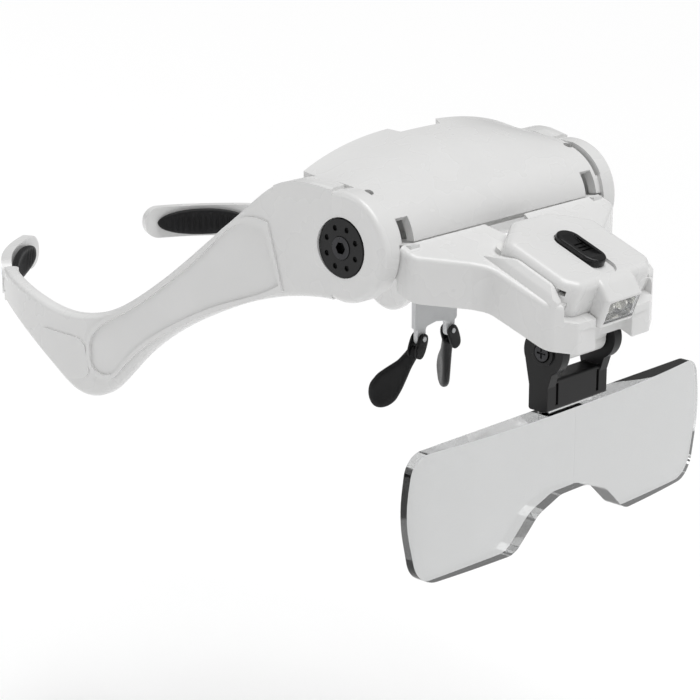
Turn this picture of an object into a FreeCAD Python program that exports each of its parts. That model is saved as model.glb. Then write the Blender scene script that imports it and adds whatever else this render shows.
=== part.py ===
import FreeCAD, Part
import math
import os

# Head visor magnifier, millimetres. +Z up, the wearer looks along -Y, +X is the wearer's left.
# The origin is the middle of the hinge line that joins the two side hubs.

V = FreeCAD.Vector

# ---------------------------------------------------------------- driving dimensions
# head band
HUB_HALF = 54.0            # outer face of each side hub from the middle plane
HUB_R = 16.5               # side hub radius
HUB_DEPTH = 6.8            # side hub thickness along X
HEAD_HALF = 73.0           # widest half width of the arms
ARM_ARC_R = 75.0           # plan radius where an arm turns in behind the head
ARM_ARC_Y = 109.0          # distance of that arc's centre behind the hinge line
ARM_TURN_DEG = 60.0        # heading of the arm where the rear pad is hinged
ARM_T = 4.6                # arm thickness
CROWN_R = 15.33            # outer radius of the crown's nose, about the hinge line
CROWN_T = 2.8              # crown wall
CROWN_REAR_Y = 22.0        # rear edge of the crown
CROWN_RISE = 25.7          # height of the rear edge in the middle
CROWN_DROP = 7.0           # how much lower the rear edge is at the sides
LIP_DEG = 172.5            # angle of the crown's lower lip about the hinge line
SLOT_TOP_DEG = 143.5       # upper end of the two finger slots in the crown
SLOT_X0 = 39.7             # inner side of a finger slot
SLOT_X1 = 44.9             # outer side of a finger slot
INLAY_T = 1.2              # arm inlay thickness
BEAD_W = 1.3               # raised bead round the inlay
BEAD_H = 0.6               # bead height
# rear pads
PADDLE_H = 11.4            # paddle height
PADDLE_T = 3.4             # paddle thickness
PADDLE_ARC_DEG = 38.0      # length of the paddle, measured on the arm's plan arc
PAD_H = 9.6                # rubber pad height
PAD_T = 3.0                # rubber pad thickness
PADDLE_Z = -36.5           # height of the paddle's middle
# front bracket
PITCH = 21.0               # slope of the bracket below horizontal
DECK_TOP = 7.25            # deck height above the hinge line, square to the slope
DECK_T = 2.2               # deck and wall thickness
SKIRT = 5.6                # how far the walls reach below the hinge line
LUG_R = 9.6                # hinge lug radius
LUG_T = 3.8                # hinge lug thickness
TILT_UP = 28.0             # front tilt travel
# lamp
CELL_R = 10.0              # coin cell radius
CELL_T = 3.2               # coin cell thickness
CELL_Y = -40.0             # cell axis, along the slope
LAMP_HALF = 20.5           # lamp cover half width
LAMP_TOP = 13.6            # lamp cover height above the hinge line, square to the slope
LAMP_WALL = 1.8            # lamp cover wall
LAMP_REAR = -22.0          # rear of the lamp cover, along the slope
NOSE_HALF = 8.3            # half width of the lamp's nose
NOSE_Y = -62.6             # front of the lamp's nose
LED_R = 2.3                # light bulb radius
LED_X = 2.95               # light offset from the middle
SWITCH_L = 17.5            # slide button length
SWITCH_W = 8.4             # slide button width
SWITCH_RUN = 4.0           # slide button travel
# lens clip and lens
AXLE_Y = -43.0             # clip axle
AXLE_Z = -31.2
AXLE_R = 1.5
EAR_R = 7.2                # clip ear radius
CLIP_HALF = 14.1           # clip half width
EAR_T = 3.5
CLIP_FRONT = -45.0
CLIP_REAR = -38.0
CLIP_TOP = -39.9
CLIP_BOTTOM = -49.4
LENS_HALF = 70.0           # lens half width
LENS_TOP = -50.9
LENS_BOTTOM = -90.4
LENS_REAR = -37.5
LENS_MID_T = 7.0           # lens thickness in the middle
LENS_END_T = 2.0           # lens thickness at its ends
ARCH_HALF = 22.5           # nose arch half width at the bottom
ARCH_TOP = -77.0
TAB_HALF = 10.2            # lens tab that plugs into the clip
TAB_T = 3.0
TAB_TOP = -42.4
# nose bridge
NOSE_PLATE_Y = 11.9
NOSE_PLATE_T = 1.6
NOSE_PLATE_HALF = 9.7
NOSE_PLATE_TOP = -4.6
NOSE_PLATE_EAR = -36.5
# clearances
RUN = 0.05                 # radial running clearance of a shaft in its hole
GAP = 0.4                  # space between pieces that move past each other
SLIDE = 0.15               # space each side of a guided plate


# ---------------------------------------------------------------- helpers
def unit(a, b):
    length = math.hypot(b[0] - a[0], b[1] - a[1])
    return ((b[0] - a[0]) / length, (b[1] - a[1]) / length)


def outline(points, radii, place):
    """Closed wire through corner points, each corner rounded by its own radius."""
    count = len(points)
    if not isinstance(radii, (list, tuple)):
        radii = [radii] * count
    stops = []
    for i in range(count):
        here = points[i]
        to_prev = unit(here, points[i - 1])
        to_next = unit(here, points[(i + 1) % count])
        dot = to_prev[0] * to_next[0] + to_prev[1] * to_next[1]
        half = math.acos(max(-1.0, min(1.0, dot))) / 2.0
        r = radii[i]
        if r < 1e-6 or half > math.pi / 2 - 1e-4:
            stops.append((here, here, here))
            continue
        back = r / math.tan(half)
        reach = r / math.sin(half) - r
        bis = (to_prev[0] + to_next[0], to_prev[1] + to_next[1])
        size = math.hypot(bis[0], bis[1])
        start = (here[0] + to_prev[0] * back, here[1] + to_prev[1] * back)
        end = (here[0] + to_next[0] * back, here[1] + to_next[1] * back)
        mid = (here[0] + bis[0] / size * reach, here[1] + bis[1] / size * reach)
        stops.append((start, mid, end))
    edges = []
    for i in range(count):
        start, mid, end = stops[i]
        if start != end:
            edges.append(Part.Arc(place(*start), place(*mid), place(*end)).toShape())
        following = stops[(i + 1) % count][0]
        if math.hypot(following[0] - end[0], following[1] - end[1]) > 1e-6:
            edges.append(Part.makeLine(place(*end), place(*following)))
    return Part.Wire(edges)


def prism_z(points, radii, z0, z1):
    face = Part.Face(outline(points, radii, lambda u, v: V(u, v, z0)))
    return face.extrude(V(0, 0, z1 - z0))


def prism_x(points, radii, x0, x1):
    face = Part.Face(outline(points, radii, lambda u, v: V(x0, u, v)))
    return face.extrude(V(x1 - x0, 0, 0))


def prism_y(points, radii, y0, y1):
    face = Part.Face(outline(points, radii, lambda u, v: V(u, y0, v)))
    return face.extrude(V(0, y1 - y0, 0))


def box(x0, x1, y0, y1, z0, z1):
    return Part.makeBox(x1 - x0, y1 - y0, z1 - z0, V(x0, y0, z0))


def rod_x(r, x0, x1, y=0.0, z=0.0):
    return Part.makeCylinder(r, x1 - x0, V(x0, y, z), V(1, 0, 0))


def rod_z(r, z0, z1, x=0.0, y=0.0):
    return Part.makeCylinder(r, z1 - z0, V(x, y, z0), V(0, 0, 1))


def rod_y(r, y0, y1, x=0.0, z=0.0):
    return Part.makeCylinder(r, y1 - y0, V(x, y0, z), V(0, 1, 0))


def rect(half_x, y0, y1):
    return [(-half_x, y0), (half_x, y0), (half_x, y1), (-half_x, y1)]


def mirrored(shape):
    return shape.mirror(V(0, 0, 0), V(1, 0, 0))


def tilted(shape):
    """Take a piece drawn square to the bracket and lay it on the bracket's slope."""
    turned = shape.copy()
    turned.rotate(V(0, 0, 0), V(1, 0, 0), PITCH)
    return turned


def slope_z(height, y):
    """Z of the plane that lies a given height above the hinge line, square to the slope."""
    pitch = math.radians(PITCH)
    return (height + y * math.sin(pitch)) / math.cos(pitch)


def slope_y(y, z):
    """Distance along the slope of a point given in the row frame."""
    pitch = math.radians(PITCH)
    return y * math.cos(pitch) + z * math.sin(pitch)


def one(shape):
    """The single cleaned solid of a boolean result."""
    solids = shape.removeSplitter().Solids
    if len(solids) != 1:
        raise ValueError("expected one solid, got %d" % len(solids))
    return solids[0]


def rounded(shape, r, choose):
    """Fillet the edges a rule picks out."""
    picked = [e for e in shape.Edges if choose(e)]
    return shape.makeFillet(r, picked)


os.makedirs("parts", exist_ok=True)
NODES = {}


def keep(node, shape):
    NODES[node] = shape


def keep_pair(node, right_side):
    """Save a right-hand piece and its mirror image; right is the wearer's right, at -X."""
    keep(node + "_right", right_side)
    keep(node + "_left", mirrored(right_side))


# ---------------------------------------------------------------- crown
def crown_section(x):
    """One closed cross-section of the crown wall in the plane x."""
    rear_z = CROWN_RISE - CROWN_DROP * (abs(x) / 46.0) ** 2.6
    inner_r = CROWN_R - CROWN_T

    def at(r, deg):
        return V(x, r * math.cos(math.radians(deg)), r * math.sin(math.radians(deg)))

    shoulder = at(CROWN_R, 122.0)
    inner_shoulder = at(inner_r, 119.0)
    nose = Part.Arc(at(CROWN_R, LIP_DEG), at(CROWN_R, 148.0), shoulder).toShape()
    mid = V(x, 4.0, shoulder.z + (rear_z - shoulder.z) * 0.52 + 1.1)
    rear = V(x, CROWN_REAR_Y, rear_z)
    roof = Part.BSplineCurve()
    roof.interpolate([shoulder, mid, rear], InitialTangent=V(0, 0.85, 0.53), FinalTangent=V(0, 0.97, 0.22))
    under_rear = V(x, CROWN_REAR_Y, rear_z - CROWN_T)
    under_mid = V(x, 4.4, mid.z - CROWN_T * 1.02)
    belly = Part.BSplineCurve()
    belly.interpolate([under_rear, under_mid, inner_shoulder],
                      InitialTangent=V(0, -0.97, -0.22), FinalTangent=V(0, -0.87, -0.48))
    bore = Part.Arc(inner_shoulder, at(inner_r, 148.0), at(inner_r, LIP_DEG)).toShape()
    return Part.Wire([nose, roof.toShape(), Part.makeLine(rear, under_rear), belly.toShape(), bore,
                      Part.makeLine(at(inner_r, LIP_DEG), at(CROWN_R, LIP_DEG))])


CROWN_HALF = HUB_HALF - HUB_DEPTH
stations = [CROWN_HALF * k / 4.0 for k in range(-4, 5)]
crown = Part.makeLoft([crown_section(x) for x in stations], True, False)


def ring_sector(r0, r1, deg0, deg1, x0, x1):
    """Part of a ring about the hinge line."""
    pts = []
    steps = 3
    for k in range(steps):
        a = math.radians(deg0 + (deg1 - deg0) * k / (steps - 1.0))
        pts.append((math.cos(a), math.sin(a)))
    outer = Part.Arc(*[V(x0, r1 * c, r1 * s) for c, s in pts]).toShape()
    inner = Part.Arc(*[V(x0, r0 * c, r0 * s) for c, s in reversed(pts)]).toShape()
    first = Part.makeLine(outer.Vertexes[-1].Point, inner.Vertexes[0].Point)
    last = Part.makeLine(inner.Vertexes[-1].Point, outer.Vertexes[0].Point)
    face = Part.Face(Part.Wire([outer, first, inner, last]))
    return face.extrude(V(x1 - x0, 0, 0))


# open slots that let the bracket's two fingers swing up
for side in (-1, 1):
    x0, x1 = sorted((side * SLOT_X0, side * SLOT_X1))
    crown = crown.cut(ring_sector(10.0, 18.0, SLOT_TOP_DEG, LIP_DEG + 2.0, x0, x1))
# shallow notch in the middle of the rear edge
crown = crown.cut(prism_z([(-9.0, CROWN_REAR_Y - 3.6), (9.0, CROWN_REAR_Y - 3.6),
                           (11.5, CROWN_REAR_Y + 1.0), (-11.5, CROWN_REAR_Y + 1.0)], 0.8, 10.0, 40.0))
# relief slit beside each hub, with a round end
slit_w = 0.8
for side in (-1, 1):
    x0, x1 = sorted((side * CROWN_HALF, side * (CROWN_HALF - slit_w)))
    crown = crown.cut(ring_sector(10.0, 22.0, 100.0, 152.0, x0, x1))
    crown = crown.cut(Part.makeCylinder(1.5, 10.0, V(side * (CROWN_HALF - 1.5), -1.7, 9.0),
                                        V(0, -0.17, 0.98)))
crown = one(crown)
keep("crown_shell", crown)

# ---------------------------------------------------------------- inner frame of the crown
frame_half = SLOT_X0 - 2.2
frame_path = [(-11.9, 0.6), (11.0, -3.0), (16.6, 1.2), (19.4, 18.6)]
frame_t = 2.2


def strip_sides(path, t):
    """Points along the two faces of a bent strip that follows a path in YZ."""
    left = []
    right = []
    for i, p in enumerate(path):
        if i == 0:
            d = unit(path[0], path[1])
        elif i == len(path) - 1:
            d = unit(path[-2], path[-1])
        else:
            a = unit(path[i - 1], p)
            b = unit(p, path[i + 1])
            d = unit((0, 0), (a[0] + b[0], a[1] + b[1]))
        left.append((p[0] - d[1] * t / 2, p[1] + d[0] * t / 2))
        right.append((p[0] + d[1] * t / 2, p[1] - d[0] * t / 2))
    return left, right


frame_over, frame_under = strip_sides(frame_path, frame_t)
inner_frame = prism_x(frame_over + frame_under[::-1], 0.0, -frame_half, frame_half)
for x in (-26.0, 0.0, 26.0):
    inner_frame = inner_frame.fuse(prism_x([(-11.0, 0.0), (10.6, -3.4), (16.4, 1.0), (17.6, 12.0)], 0.0,
                                           x - 0.8, x + 0.8))
inner_frame = one(inner_frame.cut(crown))

# ---------------------------------------------------------------- arms
arc_x = ARM_ARC_R - HEAD_HALF                       # arc centre of the right arm, row frame
root = (-HUB_HALF, 4.0)
to_centre = (arc_x - root[0], ARM_ARC_Y - root[1])
reach = math.hypot(to_centre[0], to_centre[1])
arm_heading = math.atan2(to_centre[1], to_centre[0]) + math.asin(ARM_ARC_R / reach)


def on_arc(r, heading_deg):
    """Point of the right arm's plan arc where the arm runs along a heading."""
    h = math.radians(heading_deg)
    return (arc_x - r * math.sin(h), ARM_ARC_Y + r * math.cos(h))


def band(offset_out, offset_in, end_deg, z0, z1):
    """Plan shape of the right arm between two offsets from its outer face, extruded in Z."""
    r_out = ARM_ARC_R + offset_out
    r_in = ARM_ARC_R - offset_in
    head = math.degrees(arm_heading)
    side = (-math.sin(arm_heading), math.cos(arm_heading))
    root_out = (root[0] + side[0] * offset_out, root[1] + side[1] * offset_out)
    root_in = (root[0] - side[0] * offset_in, root[1] - side[1] * offset_in)
    mid = (head + end_deg) / 2.0

    def put(p):
        return V(p[0], p[1], z0)

    edges = [
        Part.makeLine(put(root_out), put(on_arc(r_out, head))),
        Part.Arc(put(on_arc(r_out, head)), put(on_arc(r_out, mid)), put(on_arc(r_out, end_deg))).toShape(),
        Part.makeLine(put(on_arc(r_out, end_deg)), put(on_arc(r_in, end_deg))),
        Part.Arc(put(on_arc(r_in, end_deg)), put(on_arc(r_in, mid)), put(on_arc(r_in, head))).toShape(),
        Part.makeLine(put(on_arc(r_in, head)), put(root_in)),
        Part.makeLine(put(root_in), put(root_out)),
    ]
    return Part.Face(Part.Wire(edges)).extrude(V(0, 0, z1 - z0))


def side_view(top, bottom, x0, x1):
    """A solid seen from the side between two smooth lines in YZ."""
    upper = Part.BSplineCurve()
    upper.interpolate([V(x0, y, z) for y, z in top])
    lower = Part.BSplineCurve()
    lower.interpolate([V(x0, y, z) for y, z in bottom])
    first = Part.makeLine(V(x0, *bottom[0]), V(x0, *top[0]))
    last = Part.makeLine(V(x0, *top[-1]), V(x0, *bottom[-1]))
    face = Part.Face(Part.Wire([first, upper.toShape(), last, lower.toShape()]))
    return face.extrude(V(x1 - x0, 0, 0))


tip_y = on_arc(ARM_ARC_R, ARM_TURN_DEG)[1] + 6.0
arm_top = [(2.0, HUB_R), (12.0, 17.6), (21.0, 16.6), (33.0, 8.5), (48.0, -4.6), (60.0, -15.0), (73.0, -25.0),
           (86.0, -32.6), (100.0, -35.6), (116.0, -34.0), (132.0, -31.6), (tip_y, -31.0)]
arm_bottom = [(2.0, -HUB_R), (14.0, -16.9), (27.0, -19.6), (45.0, -26.8), (60.0, -35.2), (73.0, -45.6),
              (82.0, -55.2), (89.0, -60.6), (97.0, -61.6), (108.0, -56.0), (121.0, -48.8), (135.0, -43.6),
              (tip_y, -42.0)]
arm_side = side_view(arm_top, arm_bottom, -HEAD_HALF - 6.0, -20.0)
arm = band(0.0, ARM_T, ARM_TURN_DEG, -80.0, 40.0).common(arm_side)
arm = rounded(arm, 1.5, lambda e: e.Length > 40.0 and e.BoundBox.ZLength > 8.0)
hub = rod_x(HUB_R, -HUB_HALF, -CROWN_HALF)
hub = rounded(hub, 1.8, lambda e: abs(e.BoundBox.XMax + HUB_HALF) < 0.01)
# the hub's inner sleeve carries the thrust washer that the bracket's lug turns against
lug_x0 = SLOT_X0 + 0.7
lug_x1 = lug_x0 + LUG_T
washer_t = 0.8
washer_x0 = lug_x1 + 0.3
sleeve_r = 8.6
sleeve = rod_x(sleeve_r, -CROWN_HALF, -(washer_x0 + washer_t))
# shoulder that carries the arm into the crown's side
shoulder = prism_x([(0.0, 3.0), (16.0, 3.0), (24.0, 9.0), (24.0, 17.4), (12.0, 17.6), (0.0, 16.0)],
                   [0.0, 3.0, 3.0, 1.5, 6.0, 0.0], -CROWN_HALF - 12.0, -CROWN_HALF)
shoulder = shoulder.common(band(0.0, 24.0, ARM_TURN_DEG, -80.0, 40.0)).common(arm_side)
arm = arm.fuse([hub, sleeve, shoulder])

# recess for the black disc, bore for the pivot screw
DISC_R = 8.7
DISC_DEPTH = 1.5
SCREW_R = 3.0
arm = arm.cut(rod_x(DISC_R + 0.3, -HUB_HALF - 8.0, -HUB_HALF + DISC_DEPTH))
arm = arm.cut(rod_x(SCREW_R, -HUB_HALF - 8.0, -30.0))
# curved groove for the bracket's stop peg
PEG_R = 1.2
PEG_ORBIT = 10.4
PEG_DEG = 230.0
peg_margin = math.degrees((PEG_R + GAP) / PEG_ORBIT)
arm = arm.cut(ring_sector(PEG_ORBIT - PEG_R - GAP, PEG_ORBIT + PEG_R + GAP, PEG_DEG - TILT_UP - peg_margin,
                          PEG_DEG + peg_margin, -CROWN_HALF - 2.4, -CROWN_HALF))
# relief slit continues into the hub's inner corner
arm = arm.cut(ring_sector(HUB_R - 3.4, HUB_R + 4.0, 100.0, 152.0, -CROWN_HALF - 0.4, -CROWN_HALF))


def inlay_view(grow, x0, x1):
    """Side outline of the arm's inlay, grown all round by a margin."""
    up = grow * 1.25
    top = [(27.0 - grow, 2.4 + up), (35.0, 2.6 + up), (48.0, -7.6 + up), (60.0, -17.9 + up),
           (73.0, -28.0 + up), (84.0, -34.8 + up), (90.0 + grow * 0.8, -39.0 + up * 0.7),
           (93.0 + grow, -44.5)]
    bottom = [(22.0 - grow, -14.6 - up), (27.0, -17.4 - up), (41.0, -22.9 - up), (60.0, -32.4 - up),
              (73.0, -41.2 - up), (80.5, -48.6 - up), (85.8, -53.2 - up),
              (90.6 + grow * 0.8, -53.0 - up * 0.6), (93.0 + grow, -49.0)]
    return side_view(top, bottom, x0, x1)


view_x0 = -HEAD_HALF - 6.0
inlay_cut = inlay_view(0.0, view_x0, -20.0)
bead_view = inlay_view(BEAD_W, view_x0, -20.0).cut(inlay_cut)
bead = band(BEAD_H, 0.6, ARM_TURN_DEG, -80.0, 40.0).common(bead_view).common(arm_side)
recess = 0.25
arm = arm.fuse(bead).cut(band(3.0, recess + INLAY_T, ARM_TURN_DEG, -80.0, 40.0).common(inlay_cut))
inlay = band(-recess, recess + INLAY_T, ARM_TURN_DEG, -80.0, 40.0).common(inlay_cut)
# oval cover at the elbow, standing a little proud
ELBOW_T = 1.3
elbow_pts = [(95.4, -43.0), (115.4, -42.4), (115.6, -49.6), (102.0, -57.4), (93.4, -55.4)]
elbow_view = prism_x(elbow_pts, [4.5, 3.0, 3.0, 4.5, 3.5], view_x0, -20.0)
arm = arm.cut(band(3.0, ELBOW_T - 0.4, ARM_TURN_DEG, -80.0, 40.0).common(elbow_view))
elbow_cap = band(0.4, ELBOW_T - 0.4, ARM_TURN_DEG, -80.0, 40.0).common(elbow_view)

# fork at the arm's tip that holds the rear paddle's hinge pin
KNUCKLE_R = 2.5
KNUCKLE_HALF = 1.9
FORK_HALF = 5.3
PIN_R = 1.0
pin_xy = on_arc(ARM_ARC_R - KNUCKLE_R, ARM_TURN_DEG)
arm = arm.fuse(rod_z(KNUCKLE_R, PADDLE_Z - FORK_HALF, PADDLE_Z + FORK_HALF, *pin_xy))
arm = arm.cut(rod_z(KNUCKLE_R + 0.5, PADDLE_Z - KNUCKLE_HALF - GAP, PADDLE_Z + KNUCKLE_HALF + GAP, *pin_xy))
arm = one(arm.cut(rod_z(PIN_R, PADDLE_Z - FORK_HALF + 0.8, 0.0, *pin_xy)).cut(crown))
keep_pair("temple_arm", arm)
keep_pair("arm_inlay", one(inlay))
keep_pair("elbow_cap", one(elbow_cap))
keep_pair("paddle_pin", rod_z(PIN_R, PADDLE_Z - FORK_HALF + 0.8, PADDLE_Z + FORK_HALF - 0.2, *pin_xy))

# hub fittings
disc = rod_x(DISC_R, -HUB_HALF - 0.3, -HUB_HALF + DISC_DEPTH)
HEAD_R = 3.4
disc = disc.cut(rod_x(HEAD_R + 0.1, -HUB_HALF - 1.0, -HUB_HALF + 0.6)).cut(rod_x(SCREW_R, -60.0, -50.0))
dimples = 8
for k in range(dimples):
    a = 2.0 * math.pi * (k + 0.5) / dimples
    disc = disc.cut(rod_x(0.85, -HUB_HALF - 1.0, -HUB_HALF + 0.4, 6.1 * math.cos(a), 6.1 * math.sin(a)))
keep_pair("hub_disc", one(disc))
nut_t = 1.8
screw = rod_x(SCREW_R, -HUB_HALF + 0.6, -lug_x0)
screw = screw.fuse(rod_x(HEAD_R, -HUB_HALF - 0.5, -HUB_HALF + 0.6))
hexagon = [(1.9 * math.cos(math.pi * k / 3.0), 1.9 * math.sin(math.pi * k / 3.0)) for k in range(6)]
screw = screw.cut(prism_x(hexagon, 0.0, -HUB_HALF - 1.0, -HUB_HALF + 1.6))
thread_r = 2.0
screw = screw.fuse(rod_x(thread_r, -lug_x0, -(lug_x0 - GAP - nut_t - 0.4)))
keep_pair("pivot_screw", one(screw))
nut_pts = [(4.4 * math.cos(math.pi * k / 3.0), 4.4 * math.sin(math.pi * k / 3.0)) for k in range(6)]
nut = prism_x(nut_pts, 0.0, -(lug_x0 - GAP), -(lug_x0 - GAP - nut_t))
keep_pair("pivot_nut", nut.cut(rod_x(thread_r, -60.0, -20.0)))
washer = rod_x(sleeve_r - 0.4, -(washer_x0 + washer_t), -washer_x0).cut(rod_x(SCREW_R, -60.0, -30.0))
keep_pair("thrust_washer", washer)

# ---------------------------------------------------------------- rear paddles and rubber pads
def arc_piece(r_out, r_in, deg0, deg1, z0, z1):
    """Curved plate that follows the right arm's plan arc."""
    mid = (deg0 + deg1) / 2.0

    def put(r, deg):
        p = on_arc(r, deg)
        return V(p[0], p[1], z0)

    edges = [
        Part.Arc(put(r_out, deg0), put(r_out, mid), put(r_out, deg1)).toShape(),
        Part.makeLine(put(r_out, deg1), put(r_in, deg1)),
        Part.Arc(put(r_in, deg1), put(r_in, mid), put(r_in, deg0)).toShape(),
        Part.makeLine(put(r_in, deg0), put(r_out, deg0)),
    ]
    return Part.Face(Part.Wire(edges)).extrude(V(0, 0, z1 - z0))


def pill_ends(shape, r):
    """Round both ends of a curved plate as seen square to its face."""
    return rounded(shape, r, lambda e: e.Length < 6.0 and e.BoundBox.ZLength < 0.01)


paddle_end = ARM_TURN_DEG - PADDLE_ARC_DEG
blade_start = ARM_TURN_DEG - 3.6
r_paddle = ARM_ARC_R - PADDLE_T
blade = arc_piece(ARM_ARC_R, r_paddle, blade_start, paddle_end,
                  PADDLE_Z - PADDLE_H / 2, PADDLE_Z + PADDLE_H / 2)
blade = pill_ends(blade, PADDLE_H / 2 - 0.3)
knuckle = rod_z(KNUCKLE_R, PADDLE_Z - KNUCKLE_HALF, PADDLE_Z + KNUCKLE_HALF, *pin_xy)
neck = arc_piece(ARM_ARC_R - 0.8, ARM_ARC_R - PADDLE_T, ARM_TURN_DEG, blade_start - 3.0,
                 PADDLE_Z - KNUCKLE_HALF, PADDLE_Z + KNUCKLE_HALF)
paddle = blade.fuse([knuckle, neck]).cut(rod_z(PIN_R + RUN, PADDLE_Z - 9.0, PADDLE_Z + 9.0, *pin_xy))
keep_pair("rear_paddle", one(paddle))
pad_start = blade_start - 3.6
pad_stop = paddle_end + 3.6
pad = arc_piece(r_paddle, r_paddle - PAD_T, pad_start, pad_stop, PADDLE_Z - PAD_H / 2, PADDLE_Z + PAD_H / 2)
pad = pill_ends(pad, PAD_H / 2 - 0.3)
ribs = 11
for k in range(ribs):
    deg = pad_start + (pad_stop - pad_start) * (k + 0.5) / ribs
    half_deg = 0.3
    groove = arc_piece(r_paddle - PAD_T + 0.7, r_paddle - PAD_T - 2.0, deg + half_deg, deg - half_deg,
                       PADDLE_Z - PAD_H / 2 + 1.1, PADDLE_Z + PAD_H / 2 - 1.1)
    pad = pad.cut(groove)
keep_pair("rear_pad", one(pad))

# ---------------------------------------------------------------- nose bridge
guide_half = NOSE_PLATE_HALF + 2.6
slot_y0 = NOSE_PLATE_Y - NOSE_PLATE_T / 2 - SLIDE
slot_y1 = NOSE_PLATE_Y + NOSE_PLATE_T / 2 + SLIDE
guide_wall = 1.9
GUIDE_TOP = -3.9
GUIDE_BOTTOM = -17.0
guide = prism_z(rect(guide_half, slot_y0 - guide_wall, slot_y1 + guide_wall), 1.2, GUIDE_BOTTOM, 6.0)
foot_half = guide_half + 5.2
foot_y = slot_y0 - 1.0
guide = guide.fuse(prism_z(rect(foot_half, foot_y - 3.6, foot_y + 3.6), 2.0, GUIDE_TOP - 2.0, 6.0))
over_frame = prism_x(frame_under + [(60.0, 60.0), (-60.0, 60.0), (-60.0, frame_under[0][1])], 0.0,
                     -60.0, 60.0)
guide = guide.cut(over_frame)
plate_slot = box(-NOSE_PLATE_HALF - SLIDE, NOSE_PLATE_HALF + SLIDE, slot_y0, slot_y1,
                 GUIDE_BOTTOM - 1.0, GUIDE_TOP)
guide = guide.cut(plate_slot)
guide_screw_x = guide_half + 2.6
guide_screws = None
for x in (-guide_screw_x, guide_screw_x):
    shank = rod_z(0.9, GUIDE_TOP - 2.0, 0.0, x, foot_y)
    head = rod_z(1.9, GUIDE_TOP - 3.2, GUIDE_TOP - 2.0, x, foot_y)
    cross = box(x - 1.2, x + 1.2, foot_y - 0.25, foot_y + 0.25, GUIDE_TOP - 4.0, GUIDE_TOP - 2.7)
    cross = cross.fuse(box(x - 0.25, x + 0.25, foot_y - 1.2, foot_y + 1.2, GUIDE_TOP - 4.0, GUIDE_TOP - 2.7))
    piece = shank.fuse(head).cut(cross)
    guide = guide.cut(shank)
    inner_frame = inner_frame.cut(shank)
    guide_screws = piece if guide_screws is None else guide_screws.fuse(piece)
keep("inner_frame", one(inner_frame))
keep("nose_guide", one(guide))
keep("nose_guide_screws", guide_screws)

leg_x = 6.8
leg_z = -39.6
leg_r = 1.9
half_plate = [(0.0, NOSE_PLATE_TOP), (-NOSE_PLATE_HALF, NOSE_PLATE_TOP),
              (-NOSE_PLATE_HALF, NOSE_PLATE_EAR), (-leg_x - leg_r, NOSE_PLATE_EAR),
              (-leg_x - leg_r, leg_z), (-leg_x + leg_r, leg_z), (-leg_x + leg_r, -36.2), (0.0, -35.4)]
corner = [0.0, 1.0, 1.0, 0.0, 0.0, 0.0, 1.2, 0.0]
plate = prism_y(half_plate, corner, NOSE_PLATE_Y - NOSE_PLATE_T / 2, NOSE_PLATE_Y + NOSE_PLATE_T / 2)
plate_y0 = NOSE_PLATE_Y - NOSE_PLATE_T / 2
plate = plate.fuse(rod_y(leg_r, plate_y0, plate_y0 + NOSE_PLATE_T, -leg_x, leg_z))
pad_pin_r = 0.8
cheek_out = 1.3
cheek_y0 = NOSE_PLATE_Y - NOSE_PLATE_T / 2 - 0.3
cheek_y1 = NOSE_PLATE_Y + NOSE_PLATE_T / 2 + 0.3
pin_cut = rod_y(pad_pin_r, 0.0, 30.0, -leg_x, leg_z)
plate = plate.cut(pin_cut)
plate = one(plate.fuse(mirrored(plate)))
keep("nose_plate", plate)
pad_pin = rod_y(pad_pin_r, cheek_y0 - cheek_out + 0.2, cheek_y1 + cheek_out - 0.2, -leg_x, leg_z)
keep_pair("nose_pad_pin", pad_pin)

pad_root = V(-7.3, 12.7, -42.4)
pad_axis = V(-0.345, 0.375, -0.86).normalize()
pad_normal = V(-0.8, -0.5, 0.0)
pad_normal = (pad_normal - pad_axis * pad_normal.dot(pad_axis)).normalize()
pad_side = pad_axis.cross(pad_normal)
pad_outline = [(0.0, -1.9), (7.5, -2.1), (12.5, -3.2), (20.0, -3.4), (23.2, -1.6), (23.2, 2.9), (20.0, 6.2),
               (12.0, 6.2), (6.0, 2.1), (0.0, 1.9)]
pad_half_t = 1.6
blade = Part.Face(outline(pad_outline, [0.0, 3.0, 3.0, 3.0, 2.0, 2.0, 3.0, 3.0, 3.0, 0.0],
                          lambda u, v: pad_root - pad_normal * pad_half_t + pad_axis * u + pad_side * v))
blade = blade.extrude(pad_normal * (2.0 * pad_half_t))
cheeks = prism_y([(-leg_x - 2.3, leg_z + 2.3), (-leg_x + 2.3, leg_z + 2.3), (-leg_x + 1.9, -45.2),
                  (-leg_x - 2.6, -45.6)], 1.2, cheek_y0 - cheek_out, cheek_y1 + cheek_out)
nose_pad = blade.fuse(cheeks)
nose_pad = nose_pad.cut(box(-leg_x - 6.0, -leg_x + 6.0, cheek_y0, cheek_y1, leg_z - leg_r - 0.5, -30.0))
nose_pad = nose_pad.cut(rod_y(pad_pin_r + RUN, 0.0, 30.0, -leg_x, leg_z))
keep_pair("nose_pad", one(nose_pad))

# ---------------------------------------------------------------- front bracket
def slab(z0, z1):
    """Everything between two heights square to the bracket's slope."""
    return tilted(box(-80.0, 80.0, -90.0, 20.0, z0, z1))


def on_deck_rim(edge):
    """True for the edges round the deck's top, except the straight one at its rear."""
    ends = [edge.valueAt(t) for t in (edge.FirstParameter, edge.LastParameter)]
    on_top = all(abs(p.z - slope_z(DECK_TOP, p.y)) < 0.01 for p in ends)
    return on_top and any(p.y < RIM_REAR - 0.01 for p in ends)


EDGE_R = 1.8
RIM_REAR = -5.0
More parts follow.
